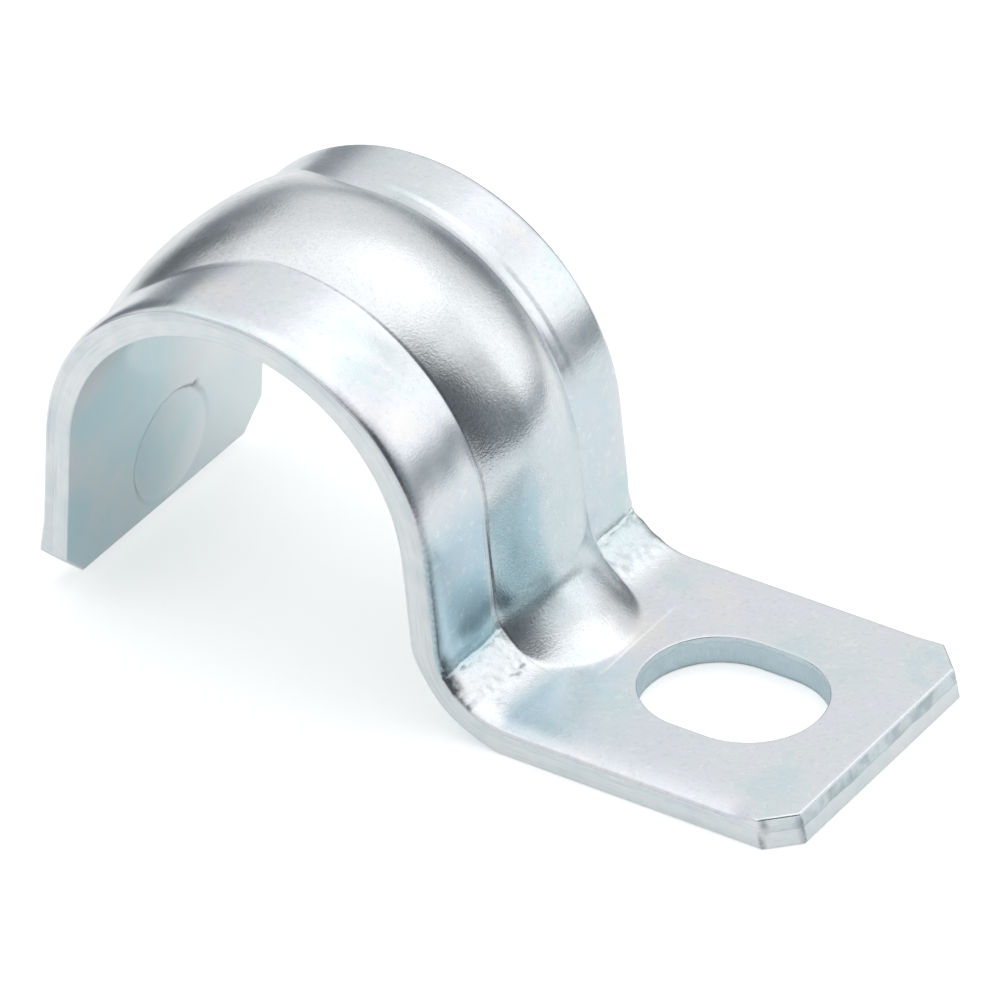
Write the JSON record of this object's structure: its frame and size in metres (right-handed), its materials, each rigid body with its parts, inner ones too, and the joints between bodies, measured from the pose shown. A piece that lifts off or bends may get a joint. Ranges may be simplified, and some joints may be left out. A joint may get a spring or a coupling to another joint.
{
  "type": "conduit strap",
  "caption": "One-hole strap of folded zinc-plated sheet steel: a ribbed saddle over a conduit and a flat foot with a slot for one screw.",
  "frame": {"origin": "on the conduit's axis, halfway along the strap's width", "axes": "+X from the saddle to the foot, +Y along the conduit, +Z away from the wall"},
  "size_m": [0.0403, 0.0157, 0.0195],
  "materials": {
    "zinc_plated_steel": "bright zinc plate, faintly blue, with soft reflections"
  },
  "bodies": {
    "root": {"strap": "zinc_plated_steel"}
  },
  "joints": []
}
